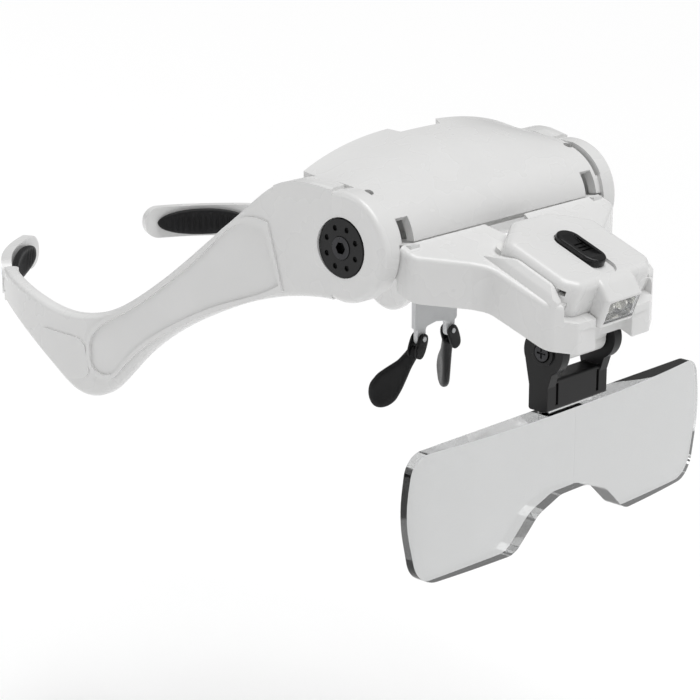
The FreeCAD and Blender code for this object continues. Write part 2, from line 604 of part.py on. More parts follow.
# the bracket's ends stand just inside the hubs
END_X = HUB_HALF - HUB_DEPTH - 0.5
half_deck = [(-6.0, -24.0), (-10.0, -13.5), (-END_X, -13.5), (-END_X, -21.0), (-30.9, -29.6), (-26.8, -32.9),
             (-25.3, -52.8), (-16.9, -57.8), (-8.6, -58.2), (-8.6, -53.6)]
half_round = [1.5, 2.2, 2.2, 4.0, 4.0, 5.0, 5.0, 2.4, 0.8, 0.8]
deck_pts = half_deck + [(-x, y) for x, y in reversed(half_deck)]
deck_round = half_round + half_round[::-1]
outside = outline(deck_pts, deck_round, lambda u, v: V(u, v, -70.0))
inside = outside.makeOffset2D(-DECK_T)
body = one(Part.Face(outside).extrude(V(0, 0, 120.0)).common(slab(-SKIRT, DECK_TOP)))
# the same outline without its front notch carries the rounded top edge
half_rim = [(-END_X, RIM_REAR)] + half_deck[3:8]
rim_pts = half_rim + [(-x, y) for x, y in reversed(half_rim)]
rim_round = [0.0] + half_round[3:8] + half_round[3:8][::-1] + [0.0]
rim = Part.Face(outline(rim_pts, rim_round, lambda u, v: V(u, v, -70.0))).extrude(V(0, 0, 120.0))
rim = rounded(one(rim.common(slab(-SKIRT, DECK_TOP))), EDGE_R, on_deck_rim)
body = body.common(rim)
hollow = Part.Face(inside).extrude(V(0, 0, 120.0)).common(slab(-SKIRT - 5.0, DECK_TOP - DECK_T))
# rounded shoulders that rise to meet the lamp cover
ridge_in = LAMP_HALF + 0.1
RIDGE_TOP = LAMP_TOP - 2.3
ridge_foot = DECK_TOP - 1.0
ridge_pts = [(-ridge_in, ridge_foot), (-ridge_in, RIDGE_TOP), (-ridge_in - 1.0, RIDGE_TOP - 0.1),
             (-ridge_in - 2.8, RIDGE_TOP - 1.9), (-ridge_in - 3.6, DECK_TOP - 0.1),
             (-ridge_in - 3.6, ridge_foot)]
ridge = prism_y(ridge_pts, [0.0, 0.2, 1.2, 2.0, 0.3, 0.0], -58.0, -26.0)
ridge_side = prism_x([(-27.0, ridge_foot), (-27.0, DECK_TOP), (-37.0, RIDGE_TOP), (-50.5, RIDGE_TOP),
                      (-55.4, DECK_TOP + 0.6), (-55.4, ridge_foot)],
                     [0.0, 0.0, 8.0, 5.0, 1.5, 0.0], -40.0, 40.0)
ridge = tilted(ridge.common(ridge_side))
ridge = ridge.common(Part.Face(outside).extrude(V(0, 0, 120.0)))
body = body.fuse([ridge, mirrored(ridge)]).cut(hollow)
# stepped front ends, set down below the deck
STEP_Z = 3.0
RISER_Y = -55.6
WELL_Y0 = -53.8
body = body.cut(tilted(box(-ridge_in, ridge_in, -80.0, RISER_Y, STEP_Z, 20.0)))
shelf_box = tilted(box(-ridge_in, ridge_in, -80.0, WELL_Y0, STEP_Z - 2.1, STEP_Z))
shelf = Part.Face(outside).extrude(V(0, 0, 120.0)).common(shelf_box)
riser = tilted(box(-ridge_in, ridge_in, RISER_Y, WELL_Y0, STEP_Z - 2.1, DECK_TOP))
body = body.fuse([shelf, riser])
# well for the lamp chassis
WELL_HALF = 17.0
WELL_Y1 = -26.6
body = body.cut(tilted(prism_z(rect(WELL_HALF, WELL_Y0, WELL_Y1), 2.0, DECK_TOP - DECK_T - 0.5, 20.0)))
# the crown's nose swings over the rear edge
body = body.cut(rod_x(CROWN_R + 0.42, -60.0, 60.0))
# hinge lugs and the fingers that reach them through the crown's slots
finger = prism_x([(-4.0, 0.4), (-18.0, 1.9), (-18.0, -8.0), (-4.4, -9.9)], 0.0, -lug_x1, -lug_x0)
lug = rod_x(LUG_R, -lug_x1, -lug_x0).fuse(finger)
lug = lug.cut(rod_x(SCREW_R + RUN, -60.0, -30.0))
peg_at = (PEG_ORBIT * math.cos(math.radians(PEG_DEG)), PEG_ORBIT * math.sin(math.radians(PEG_DEG)))
peg = rod_x(PEG_R, -CROWN_HALF - 2.0, -lug_x1 + 1.0, *peg_at)
lug = lug.fuse(peg)
body = body.fuse([lug, mirrored(lug)])

# ---------------------------------------------------------------- lamp chassis, drawn square to the slope
TRAY_R = 13.2
CAVITY_R = CELL_R + 0.4
CAP_R = 10.85
TRAY_Z0 = -4.6
cell_z0 = -2.9
axle_y = slope_y(AXLE_Y, AXLE_Z)
axle_z = AXLE_Z * math.cos(math.radians(PITCH)) - AXLE_Y * math.sin(math.radians(PITCH))
plate_z0 = DECK_TOP
plate_z1 = DECK_TOP + 1.5
chassis = rod_z(TRAY_R, TRAY_Z0, plate_z0 + 0.5, 0.0, CELL_Y)
chassis = chassis.fuse(prism_z(rect(LAMP_HALF - LAMP_WALL - 0.2, -56.6, -25.4), 2.5, plate_z0, plate_z1))
chassis = chassis.fuse(prism_x([(CELL_Y - 4.0, TRAY_Z0 + 2.0), (CELL_Y - 11.0, TRAY_Z0 + 5.0),
                                (axle_y - 3.6, TRAY_Z0 + 5.0), (axle_y - 3.6, axle_z),
                                (axle_y + 3.6, axle_z), (axle_y + 3.6, TRAY_Z0 - 0.6)], 0.0,
                               -CLIP_HALF + EAR_T + GAP, CLIP_HALF - EAR_T - GAP))
BARREL_R = 4.2
chassis = chassis.fuse(rod_x(BARREL_R, -CLIP_HALF + EAR_T + GAP, CLIP_HALF - EAR_T - GAP, axle_y, axle_z))
chassis = chassis.cut(rod_z(CAVITY_R, cell_z0 - 0.4, 20.0, 0.0, CELL_Y))
chassis = chassis.cut(rod_z(CAP_R + RUN, TRAY_Z0 - 4.0, cell_z0 - 0.4, 0.0, CELL_Y))
chassis = chassis.cut(rod_x(AXLE_R, -30.0, 30.0, axle_y, axle_z))
# twist cap under the cells
cap = rod_z(CAP_R, TRAY_Z0 + 0.1, cell_z0 - 0.7, 0.0, CELL_Y)
coin_slot = box(-5.5, 5.5, CELL_Y - 0.9, CELL_Y + 0.9, TRAY_Z0 - 1.0, TRAY_Z0 + 0.8)
cap = cap.cut(coin_slot)
TAB_R = 12.0
tab_z0 = TRAY_Z0 + 0.5
tab_z1 = TRAY_Z0 + 0.9
CAP_TURN = 60.0


def wedge(r, deg0, deg1, z0, z1, cx, cy):
    """Slice of a disc between two angles."""
    a = [math.radians(d) for d in (deg0, (deg0 + deg1) / 2.0, deg1)]
    p = [V(cx + r * math.cos(t), cy + r * math.sin(t), z0) for t in a]
    wire = Part.Wire([Part.makeLine(V(cx, cy, z0), p[0]), Part.Arc(p[0], p[1], p[2]).toShape(),
                      Part.makeLine(p[2], V(cx, cy, z0))])
    return Part.Face(wire).extrude(V(0, 0, z1 - z0))


tab_deg = 22.0
groove_spare = 5.0
for start in (20.0, 200.0):
    tab = wedge(TAB_R, start, start + tab_deg, tab_z0, tab_z1, 0.0, CELL_Y)
    cap = cap.fuse(tab.cut(rod_z(5.0, -20.0, 20.0, 0.0, CELL_Y)))
    groove = wedge(TAB_R + 0.3, start - groove_spare, start + tab_deg + CAP_TURN + groove_spare,
                   tab_z0 - 0.3, tab_z1 + 0.3, 0.0, CELL_Y)
    chassis = chassis.cut(groove)
cells = []
for k in range(2):
    z0 = cell_z0 + k * (CELL_T + 0.05)
    can = rod_z(CELL_R, z0, z0 + CELL_T * 0.8, 0.0, CELL_Y)
    lid = rod_z(CELL_R - 1.1, z0 + CELL_T * 0.8, z0 + CELL_T, 0.0, CELL_Y)
    cells.append(can.fuse(lid))
cells_top = cell_z0 + 2.0 * CELL_T + 0.05

# leaf spring between the upper cell and the circuit board
board_z0 = plate_z1
board_z1 = board_z0 + 1.0
LEAF_T = 0.3
spring_path = [(CELL_Y + 6.5, board_z0 - LEAF_T / 2.0), (CELL_Y + 2.0, board_z0 - LEAF_T / 2.0),
               (CELL_Y - 3.0, cells_top + LEAF_T), (CELL_Y - 5.0, cells_top + 4.0 * LEAF_T)]
spring_over, spring_under = strip_sides(spring_path, LEAF_T)
spring = prism_x(spring_over + spring_under[::-1], 0.0, -2.0, 2.0)
side_contact = box(-2.0, 2.0, CELL_Y + CELL_R + 0.02, CELL_Y + CELL_R + 0.38, cell_z0, board_z0)
chassis = chassis.cut(box(-2.1, 2.1, CELL_Y + CELL_R, CELL_Y + CELL_R + 0.39, cell_z0 - 0.2, board_z0))

board = prism_z(rect(11.0, -57.0 + 0.6, -27.5), 1.0, board_z0, board_z1)
switch_z1 = LAMP_TOP - LAMP_WALL - 0.3
switch_half = 5.4
stem_x = 1.5
stem_y = 1.6
SWITCH_Y = -42.4
stem_z0 = board_z1 + 0.8
switch_box = prism_z(rect(3.6, SWITCH_Y - switch_half - 1.4, SWITCH_Y + switch_half - 1.0), 0.4,
                     board_z1, switch_z1)
switch_box = switch_box.cut(box(-stem_x - 0.3, stem_x + 0.3, SWITCH_Y - SWITCH_RUN - stem_y - 0.4,
                                SWITCH_Y + stem_y + 0.4, stem_z0 - 0.3, 20.0))

# lamp cover with its nose
def cover_outline(inset):
    """Plan of the lamp cover, drawn in by a margin."""
    half = [(-8.0 + inset * 0.5, LAMP_REAR - inset), (-LAMP_HALF + inset, LAMP_REAR - 8.5 - inset * 0.4),
            (-LAMP_HALF + inset, -53.6 + inset * 0.4), (-LAMP_HALF + 4.2 + inset * 0.5, -57.5 + inset)]
    return half + [(-x, y) for x, y in reversed(half)]


cover_round = [3.0, 4.0, 4.5, 3.2, 3.2, 4.5, 4.0, 3.0]
cover = prism_z(cover_outline(0.0), cover_round, plate_z0, LAMP_TOP)
nose_pts = [(-46.0, LAMP_TOP), (-57.3, LAMP_TOP - 0.3), (NOSE_Y, 9.4), (NOSE_Y, 0.2),
            (NOSE_Y + 3.0, -0.8), (-56.2, -0.8), (-56.2, 6.0), (-46.0, 8.8)]
nose = prism_x(nose_pts, [0.0, 7.0, 0.4, 1.0, 1.0, 0.5, 0.5, 0.0], -NOSE_HALF, NOSE_HALF)


def on_nose_edge(edge):
    """True for the lengthwise edges along both sides of the nose's top."""
    span = edge.BoundBox
    return span.XLength < 0.01 and abs(abs(span.XMin) - NOSE_HALF) < 0.01 and span.ZMin > 9.2


nose = rounded(nose, 1.6, on_nose_edge)
cover = rounded(cover, 2.6, lambda e: e.BoundBox.ZMin > LAMP_TOP - 0.01)
apron = prism_z(cover_outline(0.0), cover_round, STEP_Z + 0.1, plate_z0).common(
    box(-LAMP_HALF, LAMP_HALF, -70.0, RISER_Y - 0.1, 0.0, 20.0))
cover = cover.fuse([nose, apron])
cavity = prism_z(cover_outline(LAMP_WALL), cover_round, plate_z0 - 1.0, LAMP_TOP - LAMP_WALL)
cover = cover.cut(cavity)
# light recess in the nose
RECESS_Z0 = 1.4
RECESS_Z1 = 8.8
RECESS_HALF = 6.9
cover = cover.cut(box(-RECESS_HALF, RECESS_HALF, NOSE_Y - 5.0, -57.4, RECESS_Z0, RECESS_Z1))
cover = cover.cut(box(-RECESS_HALF, RECESS_HALF, -57.5, -52.0, 2.6, 8.0))
# sunk track for the slide button, and the slot its stem runs in
track_half = SWITCH_L / 2.0 + SWITCH_RUN / 2.0 + 0.4
track_y = SWITCH_Y - SWITCH_RUN / 2.0
TRACK_DEPTH = 1.0
track = prism_z(rect(SWITCH_W / 2.0 + 0.4, track_y - track_half, track_y + track_half),
                SWITCH_W / 2.0 + 0.35, LAMP_TOP - TRACK_DEPTH, 30.0)
cover = cover.cut(track)
stem_slot = box(-stem_x - 0.35, stem_x + 0.35, track_y - SWITCH_RUN / 2.0 - stem_y - 0.4,
                track_y + SWITCH_RUN / 2.0 + stem_y + 0.4, LAMP_TOP - LAMP_WALL - 1.0, LAMP_TOP + 5.0)
cover = cover.cut(stem_slot)
# small latch windows low on the cover's front corners
LATCH_Y0 = -54.8
LATCH_Y1 = -52.2
LATCH_Z0 = 9.2
LATCH_Z1 = 10.8
for side in (-1, 1):
    x0, x1 = sorted((side * (LAMP_HALF + 2.0), side * (LAMP_HALF - LAMP_WALL - 1.0)))
    cover = cover.cut(box(x0, x1, LATCH_Y0, LATCH_Y1, LATCH_Z0, LATCH_Z1))
boss_r = 2.2
cover_screws_at = [(-14.4, -32.4), (14.4, -32.4), (-14.4, -51.6), (14.4, -51.6)]
lamp_screws = None
for x, y in cover_screws_at:
    cover = cover.fuse(rod_z(boss_r, plate_z1, LAMP_TOP - 1.0, x, y))
    shank = rod_z(0.9, plate_z0, LAMP_TOP - LAMP_WALL - 0.4, x, y)
    piece = shank.fuse(rod_z(1.8, plate_z0 - 1.1, plate_z0, x, y))
    piece = piece.cut(box(x - 1.2, x + 1.2, y - 0.25, y + 0.25, plate_z0 - 2.0, plate_z0 - 0.6))
    cover = cover.cut(shank)
    chassis = chassis.cut(shank)
    lamp_screws = piece if lamp_screws is None else lamp_screws.fuse(piece)
cover = cover.cut(prism_z(rect(LAMP_HALF - LAMP_WALL - 0.1, -56.7, -25.3), 2.5, plate_z0 - 1.0, plate_z1))
cover = cover.cut(prism_z(rect(11.3, -57.2, -27.2), 1.0, board_z0, board_z1 + 0.3))
cover = cover.cut(chassis)

# slide button: an oval with a dished top and grip lines
button_z0 = LAMP_TOP - TRACK_DEPTH + 0.3
BUTTON_TOP = LAMP_TOP + 1.5
button_plan = rect(SWITCH_W / 2.0, SWITCH_Y - SWITCH_L / 2.0, SWITCH_Y + SWITCH_L / 2.0)
button = prism_z(button_plan, SWITCH_W / 2.0 - 0.05, button_z0, BUTTON_TOP)
button = rounded(button, 0.6, lambda e: e.BoundBox.ZMin > BUTTON_TOP - 0.01)
dish_r = 22.0
button = button.cut(rod_x(dish_r, -2.6, 2.6, SWITCH_Y, BUTTON_TOP + dish_r - 0.9))
for k in (-1, 0, 1):
    line_y = SWITCH_Y + k * 1.6
    button = button.cut(box(-2.6, 2.6, line_y - 0.25, line_y + 0.25, BUTTON_TOP - 1.4, 30.0))
button = button.fuse(box(-stem_x, stem_x, SWITCH_Y - stem_y, SWITCH_Y + stem_y, stem_z0, button_z0 + 0.2))

# lights, their small board, the bright cup behind them and the clear window
LIGHT_Z = 5.1
light_y0 = -57.6
led_board = prism_y([(-6.5, 1.8), (6.5, 1.8), (6.5, 8.4), (-6.5, 8.4)], 0.6, light_y0, light_y0 + 1.0)
cover = cover.cut(led_board)
window = prism_y([(-6.8, 1.5), (6.8, 1.5), (6.8, 8.7), (-6.8, 8.7)], 0.6, NOSE_Y + 0.2, NOSE_Y + 0.9)
cup = box(-6.8, 6.8, NOSE_Y + 1.0, light_y0, 1.5, 8.7)
cup = cup.cut(prism_y([(-6.3, 2.0), (6.3, 2.0), (6.3, 8.2), (-6.3, 8.2)], 1.2, NOSE_Y, light_y0 - 1.0))
for x in (-LED_X, LED_X):
    cup = cup.cut(rod_y(LED_R + 0.05, -70.0, -50.0, x, LIGHT_Z))
dome_y = NOSE_Y + 1.1 + LED_R
led = rod_y(LED_R, dome_y, light_y0, -LED_X, LIGHT_Z)
dome = Part.makeSphere(LED_R, V(-LED_X, dome_y, LIGHT_Z))
led = led.fuse(dome.common(box(-9.0, 9.0, -70.0, dome_y, 0.0, 12.0)))

body = body.cut(tilted(rod_z(TRAY_R, -20.0, DECK_TOP + 1.0, 0.0, CELL_Y)))
body = body.cut([tilted(cover), tilted(chassis), tilted(led_board)])
keep("front_bracket", one(body))
keep("lamp_chassis", tilted(one(chassis)))
keep("battery_cap", tilted(one(cap)))
keep("coin_cell_lower", tilted(one(cells[0])))
keep("coin_cell_upper", tilted(one(cells[1])))
keep("contact_spring", tilted(spring))
keep("side_contact", tilted(side_contact))
keep("circuit_board", tilted(one(board)))
keep("switch_box", tilted(one(switch_box)))
keep("slide_button", tilted(one(button)))
keep("lamp_cover", tilted(one(cover)))
keep("lamp_screws", tilted(lamp_screws))
keep("led_board", tilted(one(led_board)))
keep("reflector", tilted(one(cup)))
keep("light_window", tilted(one(window)))
keep("led_right", tilted(one(led)))
keep("led_left", tilted(mirrored(one(led))))

# ---------------------------------------------------------------- lens clip
clip = prism_x([(CLIP_REAR, CLIP_TOP), (CLIP_REAR, CLIP_BOTTOM), (CLIP_FRONT, CLIP_BOTTOM),
                (CLIP_FRONT, CLIP_TOP)], 0.8, -CLIP_HALF, CLIP_HALF)
for side in (-1, 1):
    x0, x1 = sorted((side * CLIP_HALF, side * (CLIP_HALF - EAR_T)))
    ear = rod_x(EAR_R, x0, x1, AXLE_Y, AXLE_Z)
    stem = prism_x([(CLIP_REAR, CLIP_TOP - 2.0), (CLIP_FRONT, CLIP_TOP - 2.0),
                    (CLIP_FRONT - 1.8, AXLE_Z - 5.0), (AXLE_Y, AXLE_Z), (CLIP_REAR + 1.6, AXLE_Z - 3.0)],
                   0.0, x0, x1)
    boss_x0, boss_x1 = sorted((side * CLIP_HALF, side * (CLIP_HALF + 0.6)))
    ear = ear.fuse([stem, rod_x(4.0, boss_x0, boss_x1, AXLE_Y, AXLE_Z)])
    head_x0, head_x1 = sorted((side * (CLIP_HALF - 0.7), side * (CLIP_HALF + 3.0)))
    ear = ear.cut(rod_x(2.9, head_x0, head_x1, AXLE_Y, AXLE_Z))
    clip = clip.fuse(ear)
clip = clip.cut(rod_x(AXLE_R + RUN, -30.0, 30.0, AXLE_Y, AXLE_Z))
# socket for the lens tab, open below
tab_front = LENS_REAR - (LENS_MID_T + TAB_T) / 2.0
tab_rear = tab_front + TAB_T
SOCKET_TOP = TAB_TOP + GAP
SOCKET_GAP = 0.35
socket = box(-TAB_HALF - GAP, TAB_HALF + GAP, tab_front - SOCKET_GAP, tab_rear + SOCKET_GAP,
             CLIP_BOTTOM - 5.0, SOCKET_TOP)
clip = clip.cut(socket)
# two grooves down the front panel
GROOVE_HALF = 0.6
GROOVE_DEPTH = 0.7
for x in (-CLIP_HALF + 4.5, CLIP_HALF - 4.5):
    clip = clip.cut(box(x - GROOVE_HALF, x + GROOVE_HALF, CLIP_FRONT - 1.0, CLIP_FRONT + GROOVE_DEPTH,
                        CLIP_BOTTOM + 1.6, CLIP_TOP - 1.2))
# flat steel leaf set into the rear wall of the socket
DETENT_HALF = 5.0
DETENT_T = 0.4
detent_y = tab_rear + SOCKET_GAP
leaf = box(-DETENT_HALF, DETENT_HALF, detent_y, detent_y + DETENT_T, CLIP_BOTTOM + 0.6, SOCKET_TOP - 0.6)
clip = clip.cut(leaf)
keep("lens_clip", one(clip))
keep("clip_leaf", leaf)
# axle with a cross recess in each head
AXLE_HEAD_R = 2.5
CROSS_L = 1.6
CROSS_W = 0.3
axle = rod_x(AXLE_R, -CLIP_HALF - 0.2, CLIP_HALF + 0.2, AXLE_Y, AXLE_Z)
for side in (-1, 1):
    h0, h1 = sorted((side * (CLIP_HALF - 0.35), side * (CLIP_HALF + 0.9)))
    head = rod_x(AXLE_HEAD_R, h0, h1, AXLE_Y, AXLE_Z)
    s0, s1 = sorted((side * (CLIP_HALF + 0.3), side * (CLIP_HALF + 2.0)))
    head = head.cut(box(s0, s1, AXLE_Y - CROSS_L, AXLE_Y + CROSS_L, AXLE_Z - CROSS_W, AXLE_Z + CROSS_W))
    head = head.cut(box(s0, s1, AXLE_Y - CROSS_W, AXLE_Y + CROSS_W, AXLE_Z - CROSS_L, AXLE_Z + CROSS_L))
    axle = axle.fuse(head)
keep("clip_axle", one(axle))

# ---------------------------------------------------------------- lens
half_lens = [(0.0, LENS_TOP), (-LENS_HALF + 3.0, LENS_TOP),
             (-LENS_HALF, (LENS_TOP + LENS_BOTTOM) / 2.0 + 2.0),
             (-LENS_HALF + 5.0, LENS_BOTTOM), (-ARCH_HALF - 4.0, LENS_BOTTOM),
             (-ARCH_HALF + 6.5, ARCH_TOP - 3.6), (-ARCH_HALF * 0.26, ARCH_TOP), (0.0, ARCH_TOP)]
lens_pts = half_lens[:-1] + [(-x, z) for x, z in reversed(half_lens[:-1])][:-1]
lens_round = [0.0, 7.0, 40.0, 9.0, 7.0, 12.0, 9.0, 9.0, 12.0, 7.0, 9.0, 40.0, 7.0]
lens_front = LENS_REAR - LENS_MID_T
lens_plan_mid = (LENS_HALF * 0.56, LENS_REAR - LENS_MID_T * 0.83)


def lens_plan(z):
    """Plan section of the lens: flat behind, each half bulging forward."""
    flat = 7.0
    a = V(-LENS_HALF - 2.0, LENS_REAR, z)
    b = V(LENS_HALF + 2.0, LENS_REAR, z)
    c = V(LENS_HALF + 2.0, LENS_REAR - LENS_END_T, z)
    d = V(flat, lens_front, z)
    e = V(-flat, lens_front, z)
    f = V(-LENS_HALF - 2.0, LENS_REAR - LENS_END_T, z)
    right_bulge = Part.Arc(c, V(lens_plan_mid[0], lens_plan_mid[1], z), d).toShape()
    left_bulge = Part.Arc(e, V(-lens_plan_mid[0], lens_plan_mid[1], z), f).toShape()
    return Part.Face(Part.Wire([Part.makeLine(a, b), Part.makeLine(b, c), right_bulge, Part.makeLine(d, e),
                                left_bulge, Part.makeLine(f, a)]))


lens_height = LENS_TOP - LENS_BOTTOM
lens = lens_plan(LENS_BOTTOM).extrude(V(0, 0, lens_height))
lens = lens.common(prism_y(lens_pts, lens_round, lens_front - 5.0, LENS_REAR + 5.0))
seam = prism_z([(-0.35, lens_front - 0.01), (0.35, lens_front - 0.01), (0.0, lens_front + 0.06)], 0.0,
               LENS_BOTTOM, LENS_TOP)
lens = lens.cut(seam)
tab = prism_y([(-TAB_HALF, LENS_TOP - 0.5), (TAB_HALF, LENS_TOP - 0.5), (TAB_HALF, TAB_TOP),
               (-TAB_HALF, TAB_TOP)], [0.0, 0.0, 1.0, 1.0], tab_front, tab_rear)
lens = one(lens.fuse(tab))
keep("lens", lens)

# ---------------------------------------------------------------- write the parts
for node, shape in NODES.items():
    if not shape.isValid():
        raise ValueError(node + " is not a valid solid")
    solid = shape if len(shape.Solids) > 1 else shape.Solids[0]
    solid.exportStep("parts/" + node + ".step")
print(len(NODES), "parts written")
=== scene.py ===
"""Looks of the head visor magnifier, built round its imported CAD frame, in metres.

The visor is dressed from the head band outwards: white shells, their plain insides and inlays,
hub fittings, rear pads, nose bridge, switch button, lamp parts, lights and lens, and last comes
the studio it is shown in.
"""
import math

import bpy
import numpy as np
from mathutils import Matrix, Vector


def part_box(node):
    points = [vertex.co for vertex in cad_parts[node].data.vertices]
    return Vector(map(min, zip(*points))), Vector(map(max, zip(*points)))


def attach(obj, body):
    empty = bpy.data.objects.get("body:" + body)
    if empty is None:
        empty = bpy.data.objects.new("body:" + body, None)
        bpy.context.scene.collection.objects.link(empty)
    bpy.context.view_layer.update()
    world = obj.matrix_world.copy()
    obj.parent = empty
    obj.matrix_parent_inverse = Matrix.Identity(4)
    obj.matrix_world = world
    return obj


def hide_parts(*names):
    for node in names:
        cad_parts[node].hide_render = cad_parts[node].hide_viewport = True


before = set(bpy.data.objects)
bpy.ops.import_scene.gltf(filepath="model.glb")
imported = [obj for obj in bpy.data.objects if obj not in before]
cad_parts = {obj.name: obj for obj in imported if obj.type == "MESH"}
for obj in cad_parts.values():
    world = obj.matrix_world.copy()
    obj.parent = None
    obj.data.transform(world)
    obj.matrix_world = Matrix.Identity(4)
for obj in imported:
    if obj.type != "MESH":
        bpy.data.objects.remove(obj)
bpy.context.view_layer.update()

# ---------------------------------------------------------------- crown, arms and bracket shells
# Injection-moulded white ABS with a smooth gloss. The crown and arms are one firm shell, and the
# bracket, lamp cover and rear paddles are moulded from the same white plastic.
SHELL_WHITE = (0.79, 0.79, 0.785)


def new_node(mat, kind, values=None, **settings):
    """Add a shader node to a material, with its input values and its own settings."""
    made = mat.node_tree.nodes.new(kind)
    for key, value in settings.items():
        setattr(made, key, value)
    for key, value in (values or {}).items():
        made.inputs[key].default_value = value
    return made


def new_material(name, values):
    """An empty material with one Principled shader that has these values on its sockets."""
    mat = bpy.data.materials.new(name)
    mat.use_nodes = True
    mat.node_tree.nodes.clear()
    out = new_node(mat, "ShaderNodeOutputMaterial")
    shader = new_node(mat, "ShaderNodeBsdfPrincipled", values)
    mat.node_tree.links.new(shader.outputs[0], out.inputs["Surface"])
    return mat, shader


def object_pattern(mat, kind, scale, values=None, stretch=(1.0, 1.0, 1.0), **settings):
    """A texture node on Object coordinates, with repeats per metre and a stretch along the axes."""
    link = mat.node_tree.links.new
    coords = new_node(mat, "ShaderNodeTexCoord")
    mapping = new_node(mat, "ShaderNodeMapping", {"Scale": stretch})
    texture = new_node(mat, kind, dict({"Scale": scale}, **(values or {})), **settings)
    link(coords.outputs["Object"], mapping.inputs["Vector"])
    link(mapping.outputs["Vector"], texture.inputs["Vector"])
    return texture


def spread(mat, source, low, high, from_low=0.3, from_high=0.7):
    """Carry a 0 to 1 pattern over to a range of values, clamped at both ends."""
    node = new_node(mat, "ShaderNodeMapRange", {"From Min": from_low, "From Max": from_high,
                                                "To Min": low, "To Max": high})
    mat.node_tree.links.new(source, node.inputs["Value"])
    return node.outputs["Result"]


def tint(mat, shader, factor, first, second):
    """Base colour that runs from the first colour to the second with a 0 to 1 factor."""
    mix = new_node(mat, "ShaderNodeMix", data_type="RGBA")
    mix.inputs["A"].default_value = (*first, 1.0)
    mix.inputs["B"].default_value = (*second, 1.0)
    mat.node_tree.links.new(factor, mix.inputs["Factor"])
    mat.node_tree.links.new(mix.outputs["Result"], shader.inputs["Base Color"])


def relief(mat, shader, height, depth, strength, edge=0.0):
    """Bump from a height pattern, on top of softened edges if a radius in metres is given."""
    link = mat.node_tree.links.new
    bump = new_node(mat, "ShaderNodeBump", {"Strength": strength, "Distance": depth})
    link(height, bump.inputs["Height"])
    if edge > 0.0:
        soft = new_node(mat, "ShaderNodeBevel", {"Radius": edge}, samples=4)
        link(soft.outputs["Normal"], bump.inputs["Normal"])
    link(bump.outputs["Normal"], shader.inputs["Normal"])


def moulded(name, colour, rough, grain, depth, edge, fade=0.975, gloss=0.5, coat=0.0):
    """Moulded plastic: cloudy tone, fine surface grain, faint scuffs and, if asked, soft edges."""
    mat, shader = new_material(name, {"IOR": 1.52, "Specular IOR Level": gloss, "Coat Weight": coat,
                                      "Coat Roughness": 0.12})
    cloud = object_pattern(mat, "ShaderNodeTexNoise", 38.0, {"Detail": 3.0, "Roughness": 0.55})
    factor = spread(mat, cloud.outputs["Fac"], 0.0, 1.0, 0.35, 0.65)
    tint(mat, shader, factor, tuple(c * fade for c in colour), colour)
    scuff = object_pattern(mat, "ShaderNodeTexNoise", 70.0, {"Detail": 2.0}, stretch=(1.0, 1.5, 1.2))
    wear = spread(mat, scuff.outputs["Fac"], rough - 0.02, rough + 0.05)
    mat.node_tree.links.new(wear, shader.inputs["Roughness"])
    skin = object_pattern(mat, "ShaderNodeTexNoise", 1.0 / grain, {"Detail": 2.0})
    relief(mat, shader, skin.outputs["Fac"], depth, 0.5, edge)
    return mat


def dress(mat, *names):
    """Give CAD nodes this material."""
    for name in names:
        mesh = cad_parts[name].data
        mesh.materials.clear()
        mesh.materials.append(mat)


def both(name):
    """The names of a right piece and its left twin."""
    return [name + "_right", name + "_left"]


white_shell = moulded("white_abs", SHELL_WHITE, rough=0.26, grain=0.0008, depth=0.000004, edge=0.0)
dress(white_shell, "crown_shell", "front_bracket", "lamp_cover", "nose_guide", *both("temple_arm"),
      *both("rear_paddle"))

# ---------------------------------------------------------------- plain insides of the shell
# The inner frame and the lamp chassis are the same ABS with an unpolished tool finish, so
# they take the light more softly than the outer shell.
inner_white = moulded("unpolished_abs", (0.78, 0.78, 0.77), rough=0.42, grain=0.0006, depth=0.000008,
                      edge=0.0, fade=0.94)
dress(inner_white, "inner_frame", "lamp_chassis", "battery_cap")

# ---------------------------------------------------------------- arm inlays and elbow caps
# Thin covers pressed into the arms. They have a fine spark-eroded skin, a shade duller
# than the polished bead round them.
inlay_white = moulded("eroded_abs", SHELL_WHITE, rough=0.38, grain=0.00045, depth=0.00001,
                      edge=0.0, fade=0.965)
dress(inlay_white, *both("arm_inlay"), *both("elbow_cap"))

# ---------------------------------------------------------------- hub fittings
# Black nylon disc with eight dimples, held by a hex socket screw and a nut behind the
# bracket's lug, with a grey slip washer between them. The lens clip is the same black nylon.
black_nylon = moulded("black_nylon", (0.006, 0.006, 0.0065), rough=0.36, grain=0.0005, depth=0.00004,
                      edge=0.0003, fade=0.6, gloss=0.28)
dress(black_nylon, *both("hub_disc"), "lens_clip", "switch_box")
grey_slip = moulded("grey_slip_plastic", (0.42, 0.43, 0.44), rough=0.4, grain=0.0006, depth=0.00002,
                    edge=0.0002, fade=0.9)
dress(grey_slip, *both("thrust_washer"))


def turned_metal(name, colour, rough, lines, grain_axis):
    """Metal with fine machining lines across one axis and small changes of polish."""
    mat, shader = new_material(name, {"Metallic": 1.0, "Anisotropic": 0.3})
    stretch = tuple(12.0 if axis == grain_axis else 1.0 for axis in range(3))
    brush = object_pattern(mat, "ShaderNodeTexNoise", lines, {"Detail": 4.0}, stretch)
    haze = object_pattern(mat, "ShaderNodeTexNoise", 260.0, {"Detail": 3.0})
    tint(mat, shader, spread(mat, haze.outputs["Fac"], 0.0, 1.0), tuple(c * 0.82 for c in colour), colour)
    polish = spread(mat, brush.outputs["Fac"], rough - 0.07, rough + 0.1)
    mat.node_tree.links.new(polish, shader.inputs["Roughness"])
    relief(mat, shader, brush.outputs["Fac"], 0.00002, 0.35, 0.0002)
    return mat


